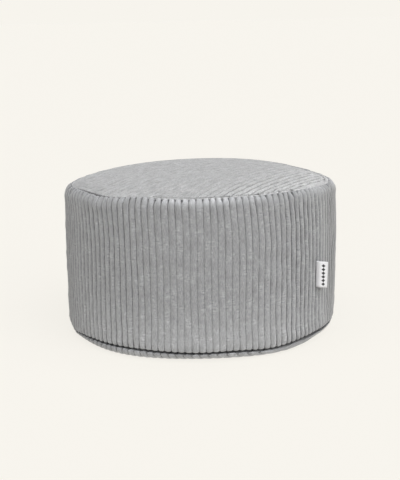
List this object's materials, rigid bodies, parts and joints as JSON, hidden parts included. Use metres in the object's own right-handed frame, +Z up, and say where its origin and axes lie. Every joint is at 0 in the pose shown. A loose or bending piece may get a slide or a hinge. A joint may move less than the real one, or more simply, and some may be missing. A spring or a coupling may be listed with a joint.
{
  "type": "round floor pouf",
  "caption": "Low round floor pouf in wide-wale corduroy: filled drum with upright wales, a crowned top with slanted wales, a flat base and a small side label.",
  "frame": {"origin": "centre of the flat base, on the floor", "axes": "+Z up through the middle of the pouf; -Y is the front, and the upright seam with the label is on the front right, towards +X"},
  "size_m": [0.5003, 0.5, 0.2882],
  "materials": {
    "corduroy_side": "soft napped wide-wale corduroy, light grey",
    "corduroy_top": "soft napped wide-wale corduroy, light grey, nap brushed lighter",
    "corduroy_base": "soft napped wide-wale corduroy, light grey",
    "woven_label": "smooth woven tape, off-white"
  },
  "bodies": {
    "root": {"side_band": "corduroy_side", "top_panel": "corduroy_top", "bottom_panel": "corduroy_base", "label": "woven_label"}
  },
  "joints": []
}
